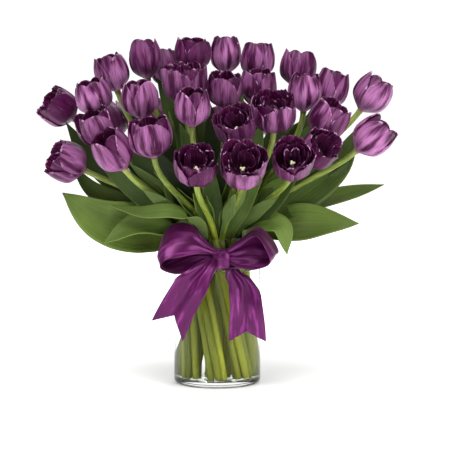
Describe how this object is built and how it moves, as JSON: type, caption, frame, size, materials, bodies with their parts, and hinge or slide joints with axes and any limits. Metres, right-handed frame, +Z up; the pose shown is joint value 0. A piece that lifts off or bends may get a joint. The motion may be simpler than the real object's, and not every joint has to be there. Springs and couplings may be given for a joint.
{
  "type": "tulips in a vase",
  "caption": "Bouquet of purple tulips with leaves, standing in water in a clear glass cylinder vase tied with a satin ribbon bow.",
  "frame": {"origin": "centre of the vase's underside, on the surface it stands on", "axes": "+Z up along the vase's axis, -Y to the front, where the bow is, +X to the right seen from the front"},
  "size_m": [0.4124, 0.3147, 0.4005],
  "materials": {
    "glass": "clear polished glass",
    "water": "clear still water",
    "stem": "smooth waxy green stem",
    "leaf": "waxy green leaf with fine parallel veins",
    "petal": "silky plum petal with a paler lilac outside",
    "ribbon": "purple satin"
  },
  "bodies": {
    "root": {"vase": "glass", "water": "water", "ribbon_band": "ribbon", "ribbon_knot": "ribbon", "ribbon_loop_left": "ribbon", "ribbon_loop_right": "ribbon", "ribbon_tail_left": "ribbon", "ribbon_tail_right": "ribbon", "stems_1": "stem", "stems_2": "stem", "stems_3": "stem", "stems_4": "stem", "stems_5": "stem", "stems_6": "stem", "stems_7": "stem", "bloom_01": "petal", "bloom_02": "petal", "bloom_03": "petal", "bloom_04": "petal", "bloom_05": "petal", "bloom_06": "petal", "bloom_07": "petal", "bloom_08": "petal", "bloom_09": "petal", "bloom_10": "petal", "bloom_11": "petal", "bloom_12": "petal", "bloom_13": "petal", "bloom_14": "petal", "bloom_15": "petal", "bloom_16": "petal", "bloom_17": "petal", "bloom_18": "petal", "bloom_19": "petal", "bloom_20": "petal", "bloom_21": "petal", "bloom_22": "petal", "bloom_23": "petal", "bloom_24": "petal", "bloom_25": "petal", "bloom_26": "petal", "bloom_27": "petal", "bloom_28": "petal", "bloom_29": "petal", "bloom_30": "petal", "bloom_31": "petal", "bloom_32": "petal", "bloom_33": "petal", "bloom_34": "petal", "bloom_35": "petal", "bloom_36": "petal", "leaf_left_broad": "leaf", "leaf_left_low": "leaf", "leaf_front_slender": "leaf", "leaf_right_droop": "leaf", "leaf_right_broad": "leaf", "leaf_right_long": "leaf", "leaf_back_right": "leaf", "leaf_back": "leaf", "leaf_back_left": "leaf"}
  },
  "joints": []
}
